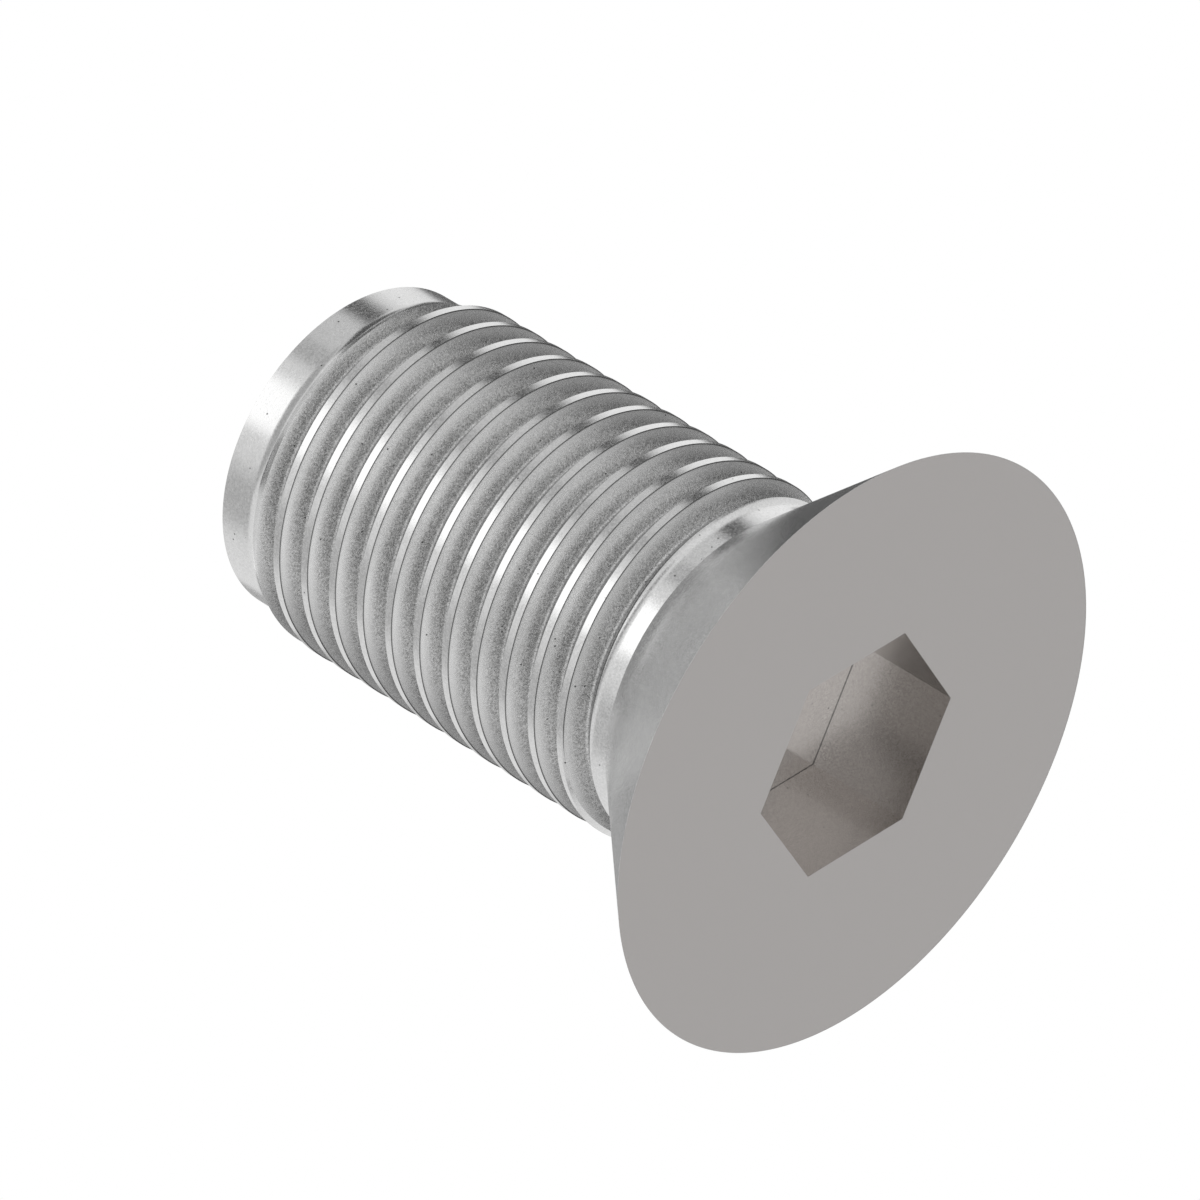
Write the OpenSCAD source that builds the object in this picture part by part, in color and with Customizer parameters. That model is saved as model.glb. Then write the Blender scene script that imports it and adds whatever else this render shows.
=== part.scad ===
// Countersunk socket head screw, M12 x 1.25 by 22 mm, cut from one piece of stainless steel.
// It stands on the flat face of its head: z = 0 is that face, and +Z runs up the
// screw's own axis to the tip of the shank. All sizes are in millimetres.

/* [Head] */
// Diameter of the head over its sharp rim
head_d = 19.9; // [18:0.1:22]
// Angle between opposite sides of the countersunk seat
seat_angle = 82; // [80:1:90]

/* [Socket] */
// Width of the hexagon across its flats
socket_width = 7; // [5:0.5:8]
// Depth of the socket down to its flat floor
socket_depth = 3.8; // [2:0.1:4.5]

/* [Shank] */
// Length of the whole screw, head included
screw_length = 22; // [20:0.1:30]
// Diameter of the plain neck under the head
neck_d = 11.2; // [10.8:0.1:11.4]
// Length of the plain neck, from the seat to the hollow below the run-out
neck_length = 0.5; // [0.3:0.01:3]
// Radius of the hollow between the neck and the run-out
neck_hollow_r = 0.9; // [0.3:0.1:1]
// Diameter of the plain tip
tip_d = 11.1; // [10.8:0.1:11.4]
// Length of the plain tip, up to the hollow below the lead chamfer
tip_length = 1.1; // [0.6:0.1:3]
// Slope of the run-out and of the lead chamfer against the axis
chamfer_angle = 30; // [25:1:35]
// Radius of the hollow between the lead chamfer and the plain tip
tip_hollow_r = 0.9; // [0.3:0.1:1]

/* [Thread] */
// Diameter over the thread's crests
thread_d = 12; // [11.8:0.1:12.6]
// Distance from one crest to the next, a right-hand thread
pitch = 1.25; // [1:0.25:1.5]
// How far the groove's first turn lies above the corner of the neck and the run-out
groove_lead = 0.34; // [0.3:0.01:1.5]
// Width of the flat that is left on each crest
crest_flat = 0.26; // [0.15:0.01:0.35]
// Radius at the bottom of the groove
root_r = 0.18; // [0.1:0.01:0.2]
// Angle between the two flanks of the groove
flank_angle = 60; // [55:1:60]

/* [Hidden] */

// Smoothness of the turned faces, and steps in one turn of the groove
turned_fn = 96;
turn_steps = 36;
// Straight steps that draw the round bottom of the groove
root_steps = 4;
// How far the socket's cutter and the hollows' fillings reach past the face they meet
overcut = 0.2;

head_r = head_d / 2;
neck_r = neck_d / 2;
tip_r = tip_d / 2;
crest_r = thread_d / 2;

// The seat is a full cone from the rim to the neck
seat_top = (head_r - neck_r) / tan(seat_angle / 2);

// Each slope would meet its plain cylinder in a sharp corner without the hollow,
// which takes up the same length on both sides of that corner
function hollow_reach(r) = r * tan(chamfer_angle / 2);
neck_corner = seat_top + neck_length + hollow_reach(neck_hollow_r);
runout_end = neck_corner + (crest_r - neck_r) / tan(chamfer_angle);
tip_corner = screw_length - tip_length - hollow_reach(tip_hollow_r);
chamfer_start = tip_corner - (crest_r - tip_r) / tan(chamfer_angle);

// Section of the groove, measured in from the crests and along the axis
groove_half = (pitch - crest_flat) / 2;
flank_half = flank_angle / 2;
sharp_depth = groove_half / tan(flank_half);
root_centre = sharp_depth - root_r / sin(flank_half);
root_sweep = 90 - flank_half;
groove_depth = root_centre + root_r;
// The cutter stands out past the crests by less than would make its turns touch
rise = crest_flat / 2;

// The groove is counted in turns from the one that cuts through the run-out. It fades
// out beside the plain neck, and where the lead chamfer takes its walls away
first_groove = neck_corner + groove_lead;
fade_in = 0.5;
fade_out = 0.75;
full_from = -0.2;
full_to = (chamfer_start - first_groove) / pitch + 0.2;
// Direction, seen down the axis, in which turn 0 lies at the height first_groove
start_angle = -13;

// Share of the full depth that the groove has at a given turn
function depth_share(turn) = max(0, min(1,
    min((turn - full_from + fade_in) / fade_in,
        (full_to + fade_out - turn) / fade_out)));

// Closed outline of the groove's cutter as [inward, along] pairs
groove_outline = concat(
    [[-rise, -groove_half - rise * tan(flank_half)]],
    [for (i = [0 : root_steps])
        let (a = root_sweep * (2 * i / root_steps - 1))
        [root_centre + root_r * cos(a), root_r * sin(a)]],
    [[-rise, groove_half + rise * tan(flank_half)]]);

// One ring of cutter points at a given turn, lifted out where the groove fades
function groove_ring(turn) =
    let (lift = (1 - depth_share(turn)) * (groove_depth + rise),
         a = start_angle + 360 * turn,
         height = first_groove + pitch * turn)
    [for (p = groove_outline)
        let (r = crest_r - p[0] + lift)
        [r * cos(a), r * sin(a), height + p[1]]];

// Cutter of the thread: the groove's outline swept along the helix
module thread_groove() {
    first = full_from - fade_in;
    turns = full_to + fade_out - first;
    steps = ceil(turns * turn_steps);
    n = len(groove_outline);
    points = [for (i = [0 : steps]) each groove_ring(first + turns * i / steps)];
    walls = [for (i = [0 : steps - 1], j = [0 : n - 1])
        let (a = i * n + j, b = i * n + (j + 1) % n)
        each [[a, b + n, b], [a, a + n, b + n]]];
    start_cap = [[for (j = [0 : n - 1]) j]];
    end_cap = [[for (j = [n - 1 : -1 : 0]) steps * n + j]];
    polyhedron(points, concat(walls, start_cap, end_cap), convexity = 12);
}

// Filling of the corner between a plain cylinder and a slope, down to its hollow.
// up is 1 where the slope rises away from z = 0 and -1 where it falls back
module hollow_filling(corner_r, corner_z, hollow_r, up) {
    reach = hollow_reach(hollow_r);
    translate([corner_r, corner_z])
        mirror([0, up > 0 ? 0 : 1])
            difference() {
                polygon([
                    [-overcut, -reach],
                    [0, -reach],
                    [reach * sin(chamfer_angle), reach * cos(chamfer_angle)],
                    [-overcut, reach * cos(chamfer_angle)]
                ]);
                translate([hollow_r, -reach])
                    circle(r = hollow_r, $fn = turned_fn);
            }
}

// Turned body: head, neck, run-out, crests, lead chamfer and plain tip
module turned_body() {
    rotate_extrude($fn = turned_fn)
        union() {
            polygon([
                [0, 0],
                [head_r, 0],
                [neck_r, seat_top],
                [neck_r, neck_corner],
                [crest_r, runout_end],
                [crest_r, chamfer_start],
                [tip_r, tip_corner],
                [tip_r, screw_length],
                [0, screw_length]
            ]);
            hollow_filling(neck_r, neck_corner, neck_hollow_r, 1);
            hollow_filling(tip_r, tip_corner, tip_hollow_r, -1);
        }
}

// Hexagon socket, open at the face of the head
module socket() {
    translate([0, 0, -overcut])
        cylinder(d = socket_width / cos(30), h = socket_depth + overcut, $fn = 6);
}

module screw() {
    color("lightgray")
        difference() {
            turned_body();
            thread_groove();
            socket();
        }
}

screw();
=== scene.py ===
"""Looks and studio of a countersunk socket head screw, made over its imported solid.

The screw stands on the flat face of its head: the origin is the middle of that face and
+Z runs along the screw's axis to its tip. The screw is modelled in millimetres and is
brought to metres at the end, because the frame is in metres.
"""

import logging
import math
from dataclasses import dataclass
from enum import Enum

import bmesh
import bpy
from bpy.types import Material, Node, NodeSocket, NodeTree, Object
from mathutils import Euler, Matrix, Vector


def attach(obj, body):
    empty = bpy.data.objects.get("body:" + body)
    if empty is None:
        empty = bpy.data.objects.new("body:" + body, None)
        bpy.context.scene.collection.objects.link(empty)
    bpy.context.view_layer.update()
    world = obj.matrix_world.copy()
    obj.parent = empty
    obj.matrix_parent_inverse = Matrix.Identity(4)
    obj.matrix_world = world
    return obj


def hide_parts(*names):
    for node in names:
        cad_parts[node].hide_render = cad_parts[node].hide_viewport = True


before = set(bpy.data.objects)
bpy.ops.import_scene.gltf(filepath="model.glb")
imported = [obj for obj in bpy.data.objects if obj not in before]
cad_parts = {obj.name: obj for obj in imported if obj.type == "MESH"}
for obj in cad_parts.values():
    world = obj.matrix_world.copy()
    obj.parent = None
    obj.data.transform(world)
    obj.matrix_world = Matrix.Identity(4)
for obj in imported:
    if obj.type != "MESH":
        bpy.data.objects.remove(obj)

log = logging.getLogger("screw")

MM = 0.001
# Degrees from the X axis to the side from which the camera looks
CAMERA_AZIMUTH = -13.09
# Corners of a mesh in millimetres that lie closer than this are one corner
SAME_CORNER = 1e-4
# Straight steps in the arc of a hollow and in the round bottom of the groove
ARC_STEPS = 10
# Flat strips in one turn of the screw, of its groove and of the floor
TURN_STEPS = 240

Point = tuple[float, float]
Colour = tuple[float, float, float]


def finished(shape: bmesh.types.BMesh, name: str, *materials: Material) -> Object:
    """Turns a bmesh into an object of the scene, at the origin.

    Args:
        shape: The mesh to hand over; it is freed here.
        name: Name of the object and of its mesh.
        materials: Materials of its slots, in their order.

    Returns:
        The new object.
    """
    mesh = bpy.data.meshes.new(name)
    shape.to_mesh(mesh)
    shape.free()
    for material in materials:
        mesh.materials.append(material)
    made = bpy.data.objects.new(name, mesh)
    bpy.context.collection.objects.link(made)
    return made


def discard(helper: Object) -> None:
    """Removes a helper object together with its mesh.

    Args:
        helper: Object that the scene no longer needs.
    """
    mesh = helper.data
    bpy.data.objects.remove(helper)
    bpy.data.meshes.remove(mesh)


def direction(azimuth: float, elevation: float) -> Vector:
    """Gives the unit vector of a direction round the screw.

    Args:
        azimuth: Degrees from the camera's own azimuth, anticlockwise from above.
        elevation: Degrees above the floor.

    Returns:
        The vector from the screw towards that direction.
    """
    a, e = math.radians(CAMERA_AZIMUTH + azimuth), math.radians(elevation)
    return Vector((math.cos(a) * math.cos(e), math.sin(a) * math.cos(e), math.sin(e)))


def feed(tree: NodeTree, slot: NodeSocket, value: object) -> None:
    """Gives a node's input its value.

    Args:
        tree: Node tree of the material.
        slot: Input to fill.
        value: Socket to link to it, or number, vector or colour to set.
    """
    if isinstance(value, NodeSocket):
        tree.links.new(value, slot)
    else:
        slot.default_value = value


def calculate(
    tree: NodeTree, operation: str, *values: object, clamp: bool = False
) -> NodeSocket:
    """Adds a Math node.

    Args:
        tree: Node tree of the material.
        operation: What the node does with its values.
        values: Sockets or numbers, in the order of its inputs.
        clamp: Whether the result is held between 0 and 1.

    Returns:
        The result.
    """
    node = tree.nodes.new("ShaderNodeMath")
    node.operation = operation
    node.use_clamp = clamp
    for slot, value in zip(node.inputs, values):
        feed(tree, slot, value)
    return node.outputs[0]


def calculate_vector(tree: NodeTree, operation: str, *values: object) -> Node:
    """Adds a Vector Math node.

    Args:
        tree: Node tree of the material.
        operation: What the node does with its values.
        values: Sockets or vectors, in the order of its inputs.

    Returns:
        The node, whose result is at Vector or at Value.
    """
    node = tree.nodes.new("ShaderNodeVectorMath")
    node.operation = operation
    for slot, value in zip(node.inputs, values):
        feed(tree, slot, value)
    return node


def component(tree: NodeTree, vector: NodeSocket, axis: str) -> NodeSocket:
    """Takes one component of a vector.

    Args:
        tree: Node tree of the material.
        vector: Vector to take apart.
        axis: X, Y or Z.

    Returns:
        The component.
    """
    split = tree.nodes.new("ShaderNodeSeparateXYZ")
    tree.links.new(vector, split.inputs[0])
    return split.outputs[axis]


def spread(
    tree: NodeTree,
    value: NodeSocket,
    low: float,
    high: float,
    at_low: float,
    at_high: float,
) -> NodeSocket:
    """Maps a value from one range to another and holds it there.

    Args:
        tree: Node tree of the material.
        value: Value to map.
        low: Value that gives at_low.
        high: Value that gives at_high.
        at_low: Result at and below low.
        at_high: Result at and above high.

    Returns:
        The mapped value.
    """
    remap = tree.nodes.new("ShaderNodeMapRange")
    remap.inputs["From Min"].default_value = low
    remap.inputs["From Max"].default_value = high
    remap.inputs["To Min"].default_value = at_low
    remap.inputs["To Max"].default_value = at_high
    tree.links.new(value, remap.inputs["Value"])
    return remap.outputs["Result"]


def blend_colours(tree: NodeTree, share: NodeSocket, low: object, high: object) -> NodeSocket:
    """Blends two colours.

    Args:
        tree: Node tree of the material.
        share: Share of the second colour.
        low: Socket or colour with its alpha, where the share is 0.
        high: Socket or colour with its alpha, where the share is 1.

    Returns:
        The blended colour.
    """
    mix = tree.nodes.new("ShaderNodeMix")
    mix.data_type = "RGBA"
    feed(tree, mix.inputs["Factor"], share)
    feed(tree, mix.inputs["A"], low)
    feed(tree, mix.inputs["B"], high)
    return mix.outputs["Result"]


def blend_shaders(tree: NodeTree, share: NodeSocket, low: Node, high: Node) -> Node:
    """Blends two shaders.

    Args:
        tree: Node tree of the material.
        share: Share of the second shader.
        low: Node of the shader that shows where the share is 0.
        high: Node of the shader that shows where the share is 1.

    Returns:
        The node of the blended shader.
    """
    mix = tree.nodes.new("ShaderNodeMixShader")
    for slot, socket in zip(mix.inputs, (share, low.outputs[0], high.outputs[0])):
        tree.links.new(socket, slot)
    return mix


class Grain(Enum):
    """Way in which the tool marks of a steel face lie.

    The lathe leaves rings and the broach leaves strokes along the axis. The value is the
    number of marks per metre on X, Y and Z, where X of the rings is the distance from the axis.
    """

    RINGS = (14000.0, 14000.0, 14000.0)
    STROKES = (9000.0, 9000.0, 350.0)


@dataclass(frozen=True)
class SteelFinish:
    """Stainless steel as one tool leaves it, with any painted shade and painted highlight.
    Lengths are in millimetres.

    Args:
        name: Name of the material.
        grain: Direction of the tool marks.
        colour: Base colour of the bare metal.
        deep_colour: Base colour between the grains.
        smooth: Roughness of the smoothest grains.
        dull: Roughness of the dullest grains.
        speck: Size of a grain.
        depth: Depth between the grains.
        marks: Depth of the tool marks as a share of that depth.
        pits: Radius of the rare dark pits.
        lip_r: Distance from the axis at which the face ends in a lip painted dark as shade, 0
            for none.
        root_r: Distance from the axis below which such a face is painted dark as the root's
            shade.
        corner_shade_z: Height of the painted shade line at the foot of the walls, 0 for none.
        pit_cell: Size of the cell that holds one pit.
        pit_and_shade_colour: Base colour in a pit and in the painted shade of the lip, the root
            and the walls' foot.
        corner_shade_half: Half the width of that painted shade line.
        lip_start: How far inside the lip's edge the painted shade starts.
        lip_full: How far inside the lip's edge the painted shade is full.
        root_fade: How far outside the root the painted shade has faded out.
        line_light: Share of the metal's own colour left in the painted shade lines of the lip
            and the walls' foot.
        root_light: Share of the metal's own colour left in the root's painted shade.
        painted_highlight: Base colour of the painted highlight on the metal beside the lip.
        highlight_start: How far inside the lip's edge the painted highlight starts.
        highlight_full: How far inside the lip's edge the painted highlight is full.
        highlight_share: Share of the painted highlight's colour where it is full.
        clouds: Number of broad dull clouds per metre.
        cloud_share: Weight of the clouds beside that of the grains.
        wear_low: Sum of grains and clouds that gives the smoothest metal.
        wear_high: Sum of grains and clouds that gives the dullest metal.
    """

    name: str
    grain: Grain
    colour: Colour
    deep_colour: Colour
    smooth: float
    dull: float
    speck: float
    depth: float
    marks: float
    pits: float
    lip_r: float = 0.0
    root_r: float = 0.0
    corner_shade_z: float = 0.0
    pit_cell: float = 0.55
    pit_and_shade_colour: Colour = (0.10, 0.10, 0.10)
    corner_shade_half: float = 0.0105
    lip_start: float = 0.045
    lip_full: float = 0.02
    root_fade: float = 0.02
    line_light: float = 0.1
    root_light: float = 0.3
    painted_highlight: Colour = (0.88, 0.88, 0.878)
    highlight_start: float = 0.38
    highlight_full: float = 0.12
    highlight_share: float = 0.85
    clouds: float = 220.0
    cloud_share: float = 0.5
    wear_low: float = 0.45
    wear_high: float = 1.05

    def build(self) -> Material:
        """Makes the node material.

        Returns:
            The material, which reads Object coordinates only.
        """
        made = bpy.data.materials.new(self.name)
        made.use_nodes = True
        tree = made.node_tree
        place = tree.nodes.new("ShaderNodeTexCoord").outputs["Object"]
        specks = self.cells(tree, place, 1.0 / (self.speck * MM)).outputs["Color"]
        marks = self.noise(tree, self.along(tree, place), 1.0)
        cloud = self.noise(tree, place, self.clouds)

        tone = blend_colours(tree, specks, (*self.deep_colour, 1.0), (*self.colour, 1.0))
        # Painted highlight: the flank is painted lighter towards the crest's edge.
        paint_crest_highlight = self.paint_crest_highlight(tree, place, tone)
        # Pits darken the metal, and painted shade darkens the crest's edge, the groove's root
        # and the walls' foot.
        unpitted_unshaded = self.unpitted_unshaded_mask(tree, place)
        colour = blend_colours(tree, unpitted_unshaded, (*self.pit_and_shade_colour, 1.0), paint_crest_highlight)
        wear = calculate(tree, "MULTIPLY_ADD", cloud, self.cloud_share, specks)
        rough = spread(tree, wear, self.wear_low, self.wear_high, self.smooth, self.dull)
        bump = tree.nodes.new("ShaderNodeBump")
        bump.inputs["Strength"].default_value = 1.0
        bump.inputs["Distance"].default_value = self.depth * MM
        height = calculate(tree, "MULTIPLY_ADD", marks, self.marks, specks)
        tree.links.new(height, bump.inputs["Height"])

        steel = tree.nodes["Principled BSDF"]
        feed(tree, steel.inputs["Metallic"], 1.0)
        feed(tree, steel.inputs["IOR"], 2.5)
        feed(tree, steel.inputs["Base Color"], colour)
        feed(tree, steel.inputs["Roughness"], rough)
        feed(tree, steel.inputs["Normal"], bump.outputs["Normal"])
        return made

    def unpitted_unshaded_mask(self, tree: NodeTree, place: NodeSocket) -> NodeSocket:
        """Gives the mask outside the pits and the painted shade at the walls' foot, lip and
        root.

        Args:
            tree: Node tree of the material.
            place: Object coordinates.

        Returns:
            A value that is 1 outside the pits and the painted shade, and lower in them.
        """
        cell = self.pit_cell * MM
        pit = self.pits * MM / cell
        core, brim = 0.6 * pit, 1.1 * pit
        dots = self.cells(tree, place, 1.0 / cell).outputs["Distance"]
        unpitted_unshaded = spread(tree, dots, core, brim, 0.0, 1.0)
        # Painted shade: a dark line where the socket's walls meet its floor.
        if self.corner_shade_z:
            height = component(tree, place, "Z")
            corner_shade = calculate(tree, "COMPARE", height, self.corner_shade_z * MM, self.corner_shade_half * MM)
            beside_corner_shade = spread(tree, corner_shade, 0.0, 1.0, 1.0, self.line_light)
            unpitted_unshaded = calculate(tree, "MULTIPLY", unpitted_unshaded, beside_corner_shade)
        # Painted shade: a dark line at the crest's edge and a darker groove root, where shade
        # falls in the groove.
        if self.lip_r:
            reach = self.radius(tree, place)
            lip, root = self.lip_r * MM, self.root_r * MM
            start, full = lip - self.lip_start * MM, lip - self.lip_full * MM
            below_lip = spread(tree, reach, start, full, 1.0, self.line_light)
            outside = root + self.root_fade * MM
            above_root = spread(tree, reach, root, outside, self.root_light, 1.0)
            unpitted_unshaded = calculate(tree, "MULTIPLY", unpitted_unshaded, below_lip)
            unpitted_unshaded = calculate(tree, "MULTIPLY", unpitted_unshaded, above_root)
        return unpitted_unshaded

    def paint_crest_highlight(self, tree: NodeTree, place: NodeSocket, tone: NodeSocket) -> NodeSocket:
        """Paints a highlight on the metal towards its lip, where it has one.

        Args:
            tree: Node tree of the material.
            place: Object coordinates.
            tone: Colour of the metal away from the lip.

        Returns:
            The colour with its painted brighter, calmer part near the lip.
        """
        if not self.lip_r:
            return tone
        start, full = (self.lip_r - self.highlight_start) * MM, (self.lip_r - self.highlight_full) * MM
        near = spread(tree, self.radius(tree, place), start, full, 0.0, self.highlight_share)
        return blend_colours(tree, near, tone, (*self.painted_highlight, 1.0))

    def along(self, tree: NodeTree, place: NodeSocket) -> NodeSocket:
        """Gives the coordinates on which the tool marks lie.

        Args:
            tree: Node tree of the material.
            place: Object coordinates.

        Returns:
            A vector socket whose noise is drawn out along the marks.
        """
        lie = place
        if self.grain is Grain.RINGS:
            ring = tree.nodes.new("ShaderNodeCombineXYZ")
            feed(tree, ring.inputs["X"], self.radius(tree, place))
            feed(tree, ring.inputs["Z"], component(tree, place, "Z"))
            lie = ring.outputs[0]
        draw = tree.nodes.new("ShaderNodeMapping")
        draw.inputs["Scale"].default_value = self.grain.value
        tree.links.new(lie, draw.inputs["Vector"])
        return draw.outputs["Vector"]

    @staticmethod
    def radius(tree: NodeTree, place: NodeSocket) -> NodeSocket:
        """Gives the distance from the screw's axis.

        Args:
            tree: Node tree of the material.
            place: Object coordinates.

        Returns:
            The distance in metres.
        """
        flat = calculate_vector(tree, "MULTIPLY", place, (1.0, 1.0, 0.0))
        return calculate_vector(tree, "LENGTH", flat.outputs["Vector"]).outputs["Value"]

    @staticmethod
    def cells(tree: NodeTree, place: NodeSocket, scale: float) -> Node:
        """Adds a texture of irregular cells.

        Args:
            tree: Node tree of the material.
            place: Object coordinates.
            scale: Number of cells per metre.

        Returns:
            The texture node; each cell has its own colour.
        """
        texture = tree.nodes.new("ShaderNodeTexVoronoi")
        texture.inputs["Scale"].default_value = scale
        tree.links.new(place, texture.inputs["Vector"])
        return texture

    @staticmethod
    def noise(tree: NodeTree, place: NodeSocket, scale: float) -> NodeSocket:
        """Adds a noise texture with three finer layers.

        Args:
            tree: Node tree of the material.
            place: Coordinates to read.
            scale: Number of spots per metre of those coordinates.

        Returns:
            The noise value, from 0 to 1.
        """
        texture = tree.nodes.new("ShaderNodeTexNoise")
        texture.inputs["Scale"].default_value = scale
        texture.inputs["Detail"].default_value = 3.0
        tree.links.new(place, texture.inputs["Vector"])
        return texture.outputs["Fac"]


FACED = SteelFinish(
    "faced_steel",
    Grain.RINGS,
    colour=(0.60, 0.587, 0.583),
    deep_colour=(0.595, 0.582, 0.578),
    smooth=0.22,
    dull=0.26,
    speck=0.05,
    depth=0.00002,
    marks=1.0,
    pits=0.01,
)
TURNED = SteelFinish(
    "turned_steel",
    Grain.RINGS,
    colour=(0.69, 0.69, 0.688),
    deep_colour=(0.54, 0.54, 0.538),
    smooth=0.14,
    dull=0.22,
    speck=0.05,
    depth=0.0006,
    marks=0.12,
    pits=0.035,
)
SEATED = SteelFinish(
    "seat_steel",
    Grain.RINGS,
    colour=(0.80, 0.80, 0.798),
    deep_colour=(0.44, 0.44, 0.438),
    smooth=0.17,
    dull=0.25,
    speck=0.05,
    depth=0.0006,
    marks=0.12,
    pits=0.035,
)
# Painted shade at the crest's edge and the groove's root, and a painted highlight on the flank
# near the crest.
THREADED = SteelFinish(
    "threaded_steel",
    Grain.RINGS,
    colour=(0.80, 0.80, 0.798),
    deep_colour=(0.26, 0.26, 0.258),
    smooth=0.22,
    dull=0.34,
    speck=0.036,
    depth=0.0006,
    marks=0.15,
    pits=0.035,
    lip_r=6.0,
    root_r=5.33,
)
# Painted shade along the foot of the socket's walls.
BROACHED = SteelFinish(
    "broached_steel",
    Grain.STROKES,
    colour=(0.70, 0.679, 0.663),
    deep_colour=(0.56, 0.541, 0.527),
    smooth=0.11,
    dull=0.17,
    speck=0.036,
    depth=0.0005,
    marks=0.15,
    pits=0.03,
    corner_shade_z=3.787,
)
# Finishes of the turned blank, in the order of its material slots
BLANK_FINISHES = (TURNED, SEATED, FACED)


@dataclass
class CountersunkScrew:
    """The screw, cut from one turned blank. Lengths are in millimetres.

    Args:
        head_d: Diameter of the head over its sharp rim.
        seat_angle: Angle between opposite sides of the seat.
        socket_width: Width of the hexagon across its flats.
        socket_depth: Depth of the socket.
        screw_length: Length of the whole screw.
        neck_d: Diameter of the plain neck.
        neck_length: Length of the plain neck, up to its hollow.
        tip_d: Diameter of the plain tip.
        tip_length: Length of the plain tip, down to its hollow.
        chamfer_angle: Slope of the run-out and the lead chamfer.
        neck_hollow_r: Radius of the hollow between the neck and the run-out.
        tip_hollow_r: Radius of the hollow between the lead chamfer and the tip.
        thread_d: Diameter over the crests.
        pitch: Distance from crest to crest.
        groove_lead: How far the groove's first turn lies above the neck's corner.
        crest_flat: Width of the flat on each crest.
        root_r: Radius at the bottom of the groove.
        flank_angle: Angle between the flanks of the groove.
        overrun: Turns by which the full groove passes its first turn and the lead chamfer.
        fade_in: Turns in which the groove deepens at its start.
        fade_out: Turns in which the groove fades at its end.
        edge_break: Width of the tiny chamfer on the rim and the tip's edge.
        sharp_angle: Angle between two faces from which their edge looks sharp.
    """

    head_d: float = 19.9
    seat_angle: float = 82.0
    socket_width: float = 7.0
    socket_depth: float = 3.8
    screw_length: float = 22.0
    neck_d: float = 11.2
    neck_length: float = 0.5
    tip_d: float = 11.1
    tip_length: float = 1.1
    chamfer_angle: float = 30.0
    neck_hollow_r: float = 0.9
    tip_hollow_r: float = 0.9
    thread_d: float = 12.0
    pitch: float = 1.25
    groove_lead: float = 0.34
    crest_flat: float = 0.26
    root_r: float = 0.18
    flank_angle: float = 60.0
    overrun: float = 0.2
    fade_in: float = 0.5
    fade_out: float = 0.75
    edge_break: float = 0.006
    sharp_angle: float = 22.0

    def __post_init__(self) -> None:
        """Works out the radii and heights that follow from the sizes."""
        slope = math.tan(math.radians(self.chamfer_angle))
        half_seat = math.tan(math.radians(self.seat_angle / 2))
        self.crest_r = self.thread_d / 2
        self.neck_r = self.neck_d / 2
        self.tip_r = self.tip_d / 2
        self.seat_top = (self.head_d / 2 - self.neck_r) / half_seat
        self.neck_corner = self.seat_top + self.neck_length + self.reach(self.neck_hollow_r)
        self.runout_end = self.neck_corner + (self.crest_r - self.neck_r) / slope
        self.tip_corner = self.screw_length - self.tip_length - self.reach(self.tip_hollow_r)
        self.chamfer_start = self.tip_corner - (self.crest_r - self.tip_r) / slope

        self.flank = math.radians(self.flank_angle / 2)
        self.groove_half = (self.pitch - self.crest_flat) / 2
        sharp_depth = self.groove_half / math.tan(self.flank)
        self.root_centre = sharp_depth - self.root_r / math.sin(self.flank)
        self.groove_depth = self.root_centre + self.root_r
        self.rise = self.crest_flat / 2
        self.first_groove = self.neck_corner + self.groove_lead
        self.full_from = -self.overrun
        full_turns = (self.chamfer_start - self.first_groove) / self.pitch
        self.full_to = full_turns + self.overrun

    def reach(self, hollow_r: float) -> float:
        """Gives the length that a hollow takes up on each side of its corner."""
        return hollow_r * math.tan(math.radians(self.chamfer_angle / 2))

    def hollow(self, corner_r: float, corner_z: float, hollow_r: float, up: int) -> list[Point]:
        """Gives the points of the hollow between a plain cylinder and a slope.

        Args:
            corner_r: Radius of the cylinder.
            corner_z: Height at which cylinder and slope would meet.
            hollow_r: Radius of the hollow.
            up: 1 where the slope rises with height, -1 where it falls.

        Returns:
            Points as (radius, height), by rising height.
        """
        points = []
        for i in range(ARC_STEPS + 1):
            a = math.radians(self.chamfer_angle) * i / ARC_STEPS
            r = corner_r + hollow_r * (1 - math.cos(a))
            z = corner_z + up * (hollow_r * math.sin(a) - self.reach(hollow_r))
            points.append((r, z))
        return points if up > 0 else points[::-1]

    def half_section(self) -> list[Point]:
        """Gives the outline of the turned blank from the head's face to the flat end.

        Returns:
            Points as (radius, height).
        """
        rim, tiny = self.head_d / 2, self.edge_break
        return [
            (0.0, 0.0),
            (rim - tiny, 0.0),
            (rim, tiny / 2),
            (self.neck_r, self.seat_top),
            *self.hollow(self.neck_r, self.neck_corner, self.neck_hollow_r, 1),
            (self.crest_r, self.runout_end),
            (self.crest_r, self.chamfer_start),
            *self.hollow(self.tip_r, self.tip_corner, self.tip_hollow_r, -1),
            (self.tip_r, self.screw_length - tiny),
            (self.tip_r - tiny, self.screw_length),
            (0.0, self.screw_length),
        ]

    def finish_at(self, height: float) -> SteelFinish:
        """Tells the finish of the blank's face at a height.

        Args:
            height: Height of the face's middle.

        Returns:
            The finish that the lathe leaves there.
        """
        if height > self.seat_top:
            return TURNED
        return SEATED if height > SAME_CORNER else FACED

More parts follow.
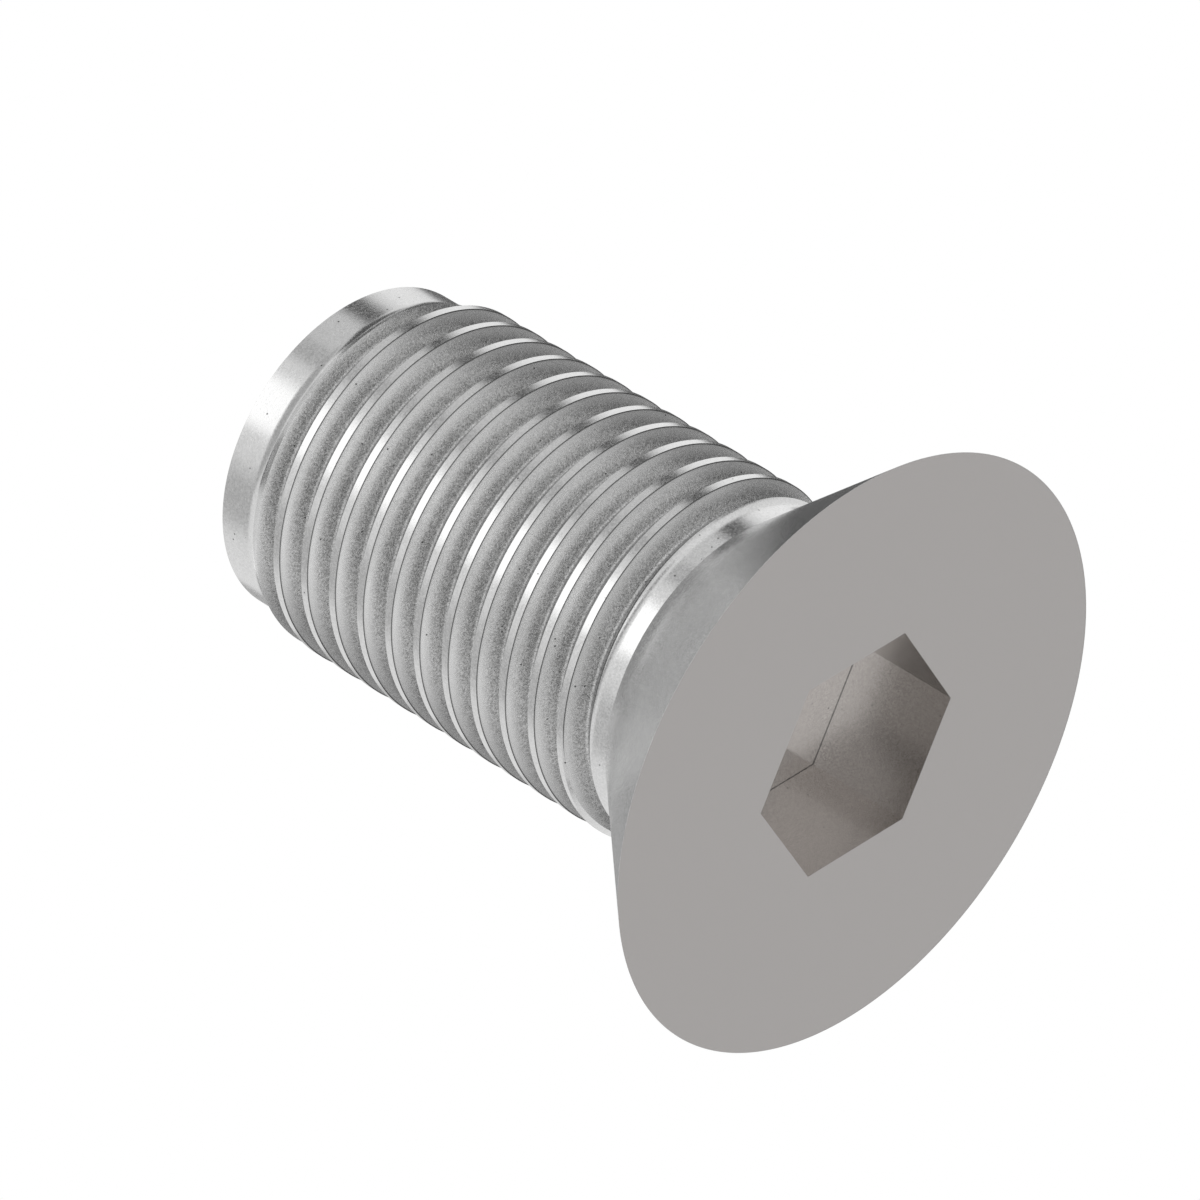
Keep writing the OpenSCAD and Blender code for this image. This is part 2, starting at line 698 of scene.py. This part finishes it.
    def turned_blank(self) -> bmesh.types.BMesh:
        """Turns the blank: its half section, spun once round the axis.

        Returns:
            The blank, whose faces have the material slots of BLANK_FINISHES.
        """
        shape = bmesh.new()
        start = direction(0.0, 0.0)
        line = [shape.verts.new(start * r + Vector((0, 0, z))) for r, z in self.half_section()]
        edges = [shape.edges.new(pair) for pair in zip(line, line[1:])]
        bmesh.ops.spin(
            shape,
            geom=line + edges,
            cent=(0, 0, 0),
            axis=(0, 0, 1),
            angle=math.tau,
            steps=TURN_STEPS,
            use_merge=True,
        )
        bmesh.ops.remove_doubles(shape, verts=shape.verts, dist=SAME_CORNER)
        bmesh.ops.recalc_face_normals(shape, faces=shape.faces)
        for face in shape.faces:
            finish = self.finish_at(face.calc_center_median().z)
            face.material_index = BLANK_FINISHES.index(finish)
        return shape

    def groove_section(self) -> list[Point]:
        """Gives the groove's outline, with its round bottom.

        Returns:
            Points as (inward from the crest, along the axis).
        """
        sweep = math.pi / 2 - self.flank
        side = self.groove_half + self.rise * math.tan(self.flank)
        root = []
        for i in range(ARC_STEPS + 1):
            a = sweep * (2 * i / ARC_STEPS - 1)
            inward = self.root_centre + self.root_r * math.cos(a)
            root.append((inward, self.root_r * math.sin(a)))
        return [(-self.rise, -side), *root, (-self.rise, side)]

    def lift(self, turn: float) -> float:
        """Tells how far the groove's cutter is drawn out of the blank at a turn.

        Args:
            turn: Number of turns from the groove's first one.

        Returns:
            The distance, 0 where the groove has its full depth.
        """
        start = (turn - self.full_from + self.fade_in) / self.fade_in
        end = (self.full_to + self.fade_out - turn) / self.fade_out
        depth_share = max(0.0, min(1.0, start, end))
        return (1 - depth_share) * (self.groove_depth + self.rise)

    def groove_cutter(self) -> bmesh.types.BMesh:
        """Sweeps the groove's outline along the right-hand helix.

        Returns:
            The cutter, lifted out of the blank where the groove fades at both ends.
        """
        first = self.full_from - self.fade_in
        turns = math.ceil(self.full_to + self.fade_out - first)
        foot = self.first_groove + self.pitch * first
        start = Matrix.Rotation(math.tau * first, 3, "Z") @ direction(0.0, 0.0)
        shape = bmesh.new()
        ring = [
            shape.verts.new(start * (self.crest_r - inward) + Vector((0, 0, foot + along)))
            for inward, along in self.groove_section()
        ]
        edges = [shape.edges.new(pair) for pair in zip(ring, ring[1:] + ring[:1])]
        bmesh.ops.spin(
            shape,
            geom=ring + edges,
            cent=(0, 0, 0),
            axis=(0, 0, 1),
            dvec=(0, 0, self.pitch / TURN_STEPS),
            angle=math.tau,
            steps=TURN_STEPS,
        )
        one_turn = [*shape.verts, *shape.edges, *shape.faces]
        for turn in range(1, turns):
            copy = bmesh.ops.duplicate(shape, geom=one_turn)["geom"]
            moved = [part for part in copy if isinstance(part, bmesh.types.BMVert)]
            bmesh.ops.translate(shape, verts=moved, vec=(0, 0, turn * self.pitch))
        bmesh.ops.remove_doubles(shape, verts=shape.verts, dist=SAME_CORNER)
        ends = [edge for edge in shape.edges if edge.is_boundary]
        bmesh.ops.holes_fill(shape, edges=ends)
        zero = math.radians(CAMERA_AZIMUTH)
        for corner in shape.verts:
            part = (math.atan2(corner.co.y, corner.co.x) - zero) / math.tau
            whole = round((corner.co.z - self.first_groove) / self.pitch - part)
            outward = Vector((corner.co.x, corner.co.y, 0)).normalized()
            corner.co += outward * self.lift(part + whole)
        bmesh.ops.recalc_face_normals(shape, faces=shape.faces)
        return shape

    def socket_cutter(self) -> bmesh.types.BMesh:
        """Makes the hexagon that the broach leaves.

        Returns:
            The cutter, with a corner on the X axis.
        """
        shape = bmesh.new()
        below = 0.5
        corner_r = self.socket_width / math.sqrt(3)
        bmesh.ops.create_cone(
            shape,
            cap_ends=True,
            segments=6,
            radius1=corner_r,
            radius2=corner_r,
            depth=self.socket_depth + below,
        )
        corner = max(shape.verts, key=lambda v: v.co.x)
        turn = -math.atan2(corner.co.y, corner.co.x)
        bmesh.ops.rotate(shape, verts=shape.verts, matrix=Matrix.Rotation(turn, 3, "Z"))
        middle = (self.socket_depth - below) / 2
        bmesh.ops.translate(shape, verts=shape.verts, vec=(0, 0, middle))
        return shape

    def cut(self) -> bpy.types.Mesh:
        """Cuts the thread and the socket out of the blank.

        Returns:
            The cut mesh in millimetres, with the materials of all its finishes.
        """
        paints = [finish.build() for finish in BLANK_FINISHES]
        blank = finished(self.turned_blank(), "blank", *paints)
        groove = finished(self.groove_cutter(), "groove", THREADED.build())
        socket = finished(self.socket_cutter(), "socket", BROACHED.build())
        for tool in (groove, socket):
            removal = blank.modifiers.new(tool.name, "BOOLEAN")
            removal.operation = "DIFFERENCE"
            removal.solver = "MANIFOLD"
            removal.material_mode = "TRANSFER"
            removal.object = tool
        graph = bpy.context.evaluated_depsgraph_get()
        mesh = bpy.data.meshes.new_from_object(blank.evaluated_get(graph))
        for helper in (blank, groove, socket):
            discard(helper)
        return mesh

    def build(self) -> Object:
        """Makes the screw in metres and puts it in the place of its plain solid.

        Returns:
            The finished piece, closed, with sharp edges marked by their angle.
        """
        mesh = self.cut()
        shape = bmesh.new()
        shape.from_mesh(mesh)
        bmesh.ops.remove_doubles(shape, verts=shape.verts, dist=SAME_CORNER)
        bmesh.ops.dissolve_degenerate(shape, edges=shape.edges, dist=SAME_CORNER)
        bmesh.ops.scale(shape, verts=shape.verts, vec=(MM, MM, MM))
        shape.to_mesh(mesh)
        shape.free()
        mesh.shade_smooth()
        mesh.set_sharp_from_angle(angle=math.radians(self.sharp_angle))
        mesh.name = "steel_screw"
        made = bpy.data.objects.new("steel_screw", mesh)
        bpy.context.collection.objects.link(made)
        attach(made, "root")
        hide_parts("screw")
        return made


@dataclass(frozen=True)
class Panel:
    """A curved panel of the studio that the steel mirrors, facing the screw.

    Args:
        name: Name of the object.
        azimuth: Degrees from the camera's azimuth, anticlockwise from above.
        elevation: Degrees above the floor.
        width: Degrees that it covers from side to side.
        height: Degrees that it covers from bottom to top.
        level: Brightness of its face, where 1 is white.
        soft: Share of its face over which it fades out towards its borders.
        tint: Colour of its face.
        distance: Distance from the screw in metres.
    """

    name: str
    azimuth: float
    elevation: float
    width: float
    height: float
    level: float
    soft: float
    tint: Colour = (1.0, 1.0, 1.0)
    distance: float = 0.9

    def hang(self) -> None:
        """Makes the panel, unseen by the camera."""
        shape = bmesh.new()
        shape.loops.layers.uv.new("face")
        bmesh.ops.create_grid(shape, x_segments=24, y_segments=8, size=1.0, calc_uvs=True)
        for corner in shape.verts:
            across = self.azimuth + corner.co.x * self.width / 2
            up = self.elevation + corner.co.y * self.height / 2
            corner.co = direction(across, up) * self.distance
        made = finished(shape, self.name, self.glow())
        made.visible_camera = False

    def glow(self) -> Material:
        """Makes the panel's light, which fades out towards its borders.

        Returns:
            The material.
        """
        paint = bpy.data.materials.new(self.name)
        paint.use_nodes = True
        tree = paint.node_tree
        tree.nodes.clear()
        face = tree.nodes.new("ShaderNodeEmission")
        face.inputs["Color"].default_value = (*self.tint, 1.0)
        face.inputs["Strength"].default_value = self.level
        middle = 0.5
        place = tree.nodes.new("ShaderNodeTexCoord").outputs["UV"]
        ramps = []
        for axis in ("X", "Y"):
            inward = calculate(tree, "PINGPONG", component(tree, place, axis), middle)
            ramps.append(spread(tree, inward, 0.0, middle * self.soft, 0.0, 1.0))
        cover = calculate(tree, "MULTIPLY", *ramps)
        clear = tree.nodes.new("ShaderNodeBsdfTransparent")
        shown = blend_shaders(tree, cover, clear, face)
        out = tree.nodes.new("ShaderNodeOutputMaterial")
        tree.links.new(shown.outputs[0], out.inputs["Surface"])
        return paint


@dataclass
class Studio:
    """Pale floor, white surroundings and the panels round the screw.

    Args:
        room_level: Brightness of the surroundings as light on the object.
        floor_tone: Colour of the floor.
        floor_r: Radius of the floor in metres.
        floor_rings: Radii in metres of the floor's rings between the head and its border.
        floor_drop: How far the floor lies under the head's face, in millimetres.
        floor_lap: How far the floor reaches under the head's rim, in millimetres.
        clear_from: Share of the floor's radius at which it starts to fade out.
        clear_to: Share of the floor's radius at which it has faded out.
        white_share: Share of plain white in the floor as the camera and mirrors see it.
        glow_azimuth: Direction, from the camera's, of the floor's side that glows white to
            mirrors.
        glow_edge: Where that glow's soft edge starts and ends that way, in millimetres.
        far_side_shade: Level of the white beyond that edge as mirrors see it, a painted shade.
    """

    room_level: float = 0.75
    floor_tone: Colour = (0.86, 0.86, 0.86)
    floor_r: float = 1.6
    floor_rings: tuple[float, float] = (0.1, 0.4)
    floor_drop: float = 0.005
    floor_lap: float = 0.01
    clear_from: float = 0.35
    clear_to: float = 0.95
    white_share: float = 0.6
    glow_azimuth: float = -15.0
    glow_edge: tuple[float, float] = (-8.0, 6.0)
    far_side_shade: float = 0.1

    @staticmethod
    def panels() -> list[Panel]:
        """Lists the panels by their place as the camera sees it.

        Returns:
            The panels.
        """
        return [
            Panel("front_soft_box", -3, 35, 44, 17, 1.9, 0.4),
            Panel("front_low_box", 0, 2, 30, 8, 1.7, 0.3, distance=0.85),
            Panel("low_wall", -12, 11.5, 116, 11, 0.4, 0.3, distance=0.95),
            Panel("front_high_card", 0, 64, 146, 40, 0.56, 0.2, distance=0.95),
            Panel("front_grey_card", 40, 38, 22, 24, 0.58, 0.4),
            Panel("side_pale_card", 60, 38, 30, 24, 0.8, 0.3),
            Panel("side_dark_card", 88, 36, 30, 30, 0.10, 0.7, distance=0.88),
            Panel("rear_soft_box", 127, 32, 48, 20, 1.2, 0.4, distance=0.88),
            Panel("side_grey_card", -70, 40, 60, 26, 0.62, 0.6),
            Panel("high_dark_card", 102, 58, 60, 26, 0.12, 0.3),
            Panel("rear_dark_card", 160, 50, 58, 52, 0.12, 0.3),
            Panel("rear_grey_card", -164, 55, 38, 46, 0.40, 0.3),
            Panel("rear_left_box", -150, 52, 12, 12, 1.3, 0.4, distance=0.88),
            Panel("top_dark_card", -115, 76, 60, 16, 0.15, 0.3),
            Panel("low_dark_card", 83, -34, 56, 34, 0.45, 0.4),
            Panel("ground_card", 180, -40, 80, 56, 0.60, 0.1, (1.0, 0.985, 0.97)),
        ]

    def world(self) -> None:
        """Lights the room, which is white to the camera and in reflections."""
        room = bpy.data.worlds.new("white_room")
        bpy.context.scene.world = room
        room.use_nodes = True
        tree = room.node_tree
        tree.nodes.clear()
        plain = tree.nodes.new("ShaderNodeBackground")
        plain.inputs["Strength"].default_value = self.room_level
        white = tree.nodes.new("ShaderNodeBackground")
        white.inputs["Strength"].default_value = 1.0
        for light in (plain, white):
            light.inputs["Color"].default_value = (1.0, 1.0, 1.0, 1.0)
        shown = blend_shaders(tree, self.seen(tree), plain, white)
        out = tree.nodes.new("ShaderNodeOutputWorld")
        tree.links.new(shown.outputs[0], out.inputs["Surface"])

    @staticmethod
    def seen(tree: NodeTree) -> NodeSocket:
        """Tells the rays that show a backdrop from those that only light the object.

        Args:
            tree: Node tree of the backdrop.

        Returns:
            A value that is 1 for camera, glossy and transmission rays, else 0.
        """
        rays = tree.nodes.new("ShaderNodeLightPath")
        total = rays.outputs["Is Camera Ray"]
        for kind in ("Is Glossy Ray", "Is Transmission Ray"):
            total = calculate(tree, "ADD", total, rays.outputs[kind], clamp=True)
        return total

    def floor(self, head_r: float) -> None:
        """Lays the floor round the head, clear from below and fading far away.

        Args:
            head_r: Radius of the head in metres.
        """
        shape = bmesh.new()
        down = Vector((0.0, 0.0, -self.floor_drop * MM))
        radii = [head_r - self.floor_lap * MM, 2 * head_r, *self.floor_rings, self.floor_r]
        line = [shape.verts.new(Vector((r, 0.0, 0.0)) + down) for r in radii]
        edges = [shape.edges.new(pair) for pair in zip(line, line[1:])]
        bmesh.ops.spin(
            shape,
            geom=line + edges,
            cent=(0, 0, 0),
            axis=(0, 0, 1),
            angle=math.tau,
            steps=TURN_STEPS,
            use_merge=True,
        )
        bmesh.ops.recalc_face_normals(shape, faces=shape.faces)
        if next(iter(shape.faces)).normal.z < 0:
            bmesh.ops.reverse_faces(shape, faces=shape.faces)
        made = finished(shape, "floor", self.floor_paint())

    def floor_paint(self) -> Material:
        """Makes the floor's matt paint, which only its upper side carries.

        Returns:
            The material.
        """
        paint = bpy.data.materials.new("pale_floor")
        paint.use_nodes = True
        tree = paint.node_tree
        matt = tree.nodes["Principled BSDF"]
        matt.inputs["Base Color"].default_value = (*self.floor_tone, 1.0)
        matt.inputs["Roughness"].default_value = 0.9
        matt.inputs["Specular IOR Level"].default_value = 0.2
        place = tree.nodes.new("ShaderNodeTexCoord").outputs["Object"]

        away = calculate_vector(tree, "LENGTH", place).outputs["Value"]
        fade = [self.clear_from * self.floor_r, self.clear_to * self.floor_r]
        far = spread(tree, away, *fade, 0.0, 1.0)
        side = tree.nodes.new("ShaderNodeNewGeometry")
        clear = calculate(tree, "MAXIMUM", far, side.outputs["Backfacing"])

        # Painted reflection: mirrors see the floor glow white towards the camera and painted
        # darker beyond, while the camera sees it white all over.
        forward = direction(self.glow_azimuth, 0.0)
        ahead = calculate_vector(tree, "DOT_PRODUCT", place, forward).outputs["Value"]
        start, end = self.glow_edge
        mirrored_glow = spread(tree, ahead, start * MM, end * MM, self.far_side_shade, 1.0)
        rays = tree.nodes.new("ShaderNodeLightPath")
        level = calculate(tree, "MAXIMUM", mirrored_glow, rays.outputs["Is Camera Ray"])
        white = tree.nodes.new("ShaderNodeEmission")
        white.inputs["Strength"].default_value = 1.0
        tree.links.new(level, white.inputs["Color"])

        share = spread(tree, self.seen(tree), 0.0, 1.0, 0.0, self.white_share)
        lit = blend_shaders(tree, share, matt, white)
        open_air = tree.nodes.new("ShaderNodeBsdfTransparent")
        shown = blend_shaders(tree, clear, lit, open_air)
        out = tree.nodes["Material Output"]
        tree.links.new(shown.outputs[0], out.inputs["Surface"])
        return paint

    def build(self, head_r: float) -> None:
        """Sets up the room, the floor and the panels.

        Args:
            head_r: Radius of the head in metres.
        """
        self.world()
        self.floor(head_r)
        for panel in self.panels():
            panel.hang()
            log.info("panel %s hung", panel.name)


@dataclass(frozen=True)
class Viewpoint:
    """The camera, a long lens that looks up at the head's face.

    Args:
        place: Its place in millimetres.
        turn: Its turn about X, Y and Z in degrees.
        lens: Focal length in millimetres.
        sensor: Width of the sensor in millimetres.
        clip: Nearest and farthest distance that it shows, in metres.
    """

    place: tuple[float, float, float] = (237.8695, -55.3104, -162.3080)
    turn: tuple[float, float, float] = (143.7746, 44.1631, 120.4763)
    lens: float = 294.3258
    sensor: float = 36.0
    clip: tuple[float, float] = (0.01, 10.0)

    def build(self) -> None:
        """Makes the camera and gives it to the scene."""
        data = bpy.data.cameras.new("camera")
        data.lens = self.lens
        data.sensor_width = self.sensor
        data.clip_start, data.clip_end = self.clip
        data.dof.use_dof = False
        camera = bpy.data.objects.new("camera", data)
        camera.location = Vector(self.place) * MM
        camera.rotation_euler = Euler([math.radians(a) for a in self.turn], "XYZ")
        bpy.context.collection.objects.link(camera)
        bpy.context.scene.camera = camera


def main() -> None:
    """Builds the camera, the screw and the studio."""
    logging.basicConfig(level=logging.INFO, format="%(message)s")
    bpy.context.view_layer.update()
    bpy.context.scene.view_settings.view_transform = "Standard"
    Viewpoint().build()
    screw = CountersunkScrew()
    piece = screw.build()
    log.info("piece %s: %d faces", piece.name, len(piece.data.polygons))
    Studio().build(screw.head_d / 2 * MM)


if __name__ == "__main__":
    main()
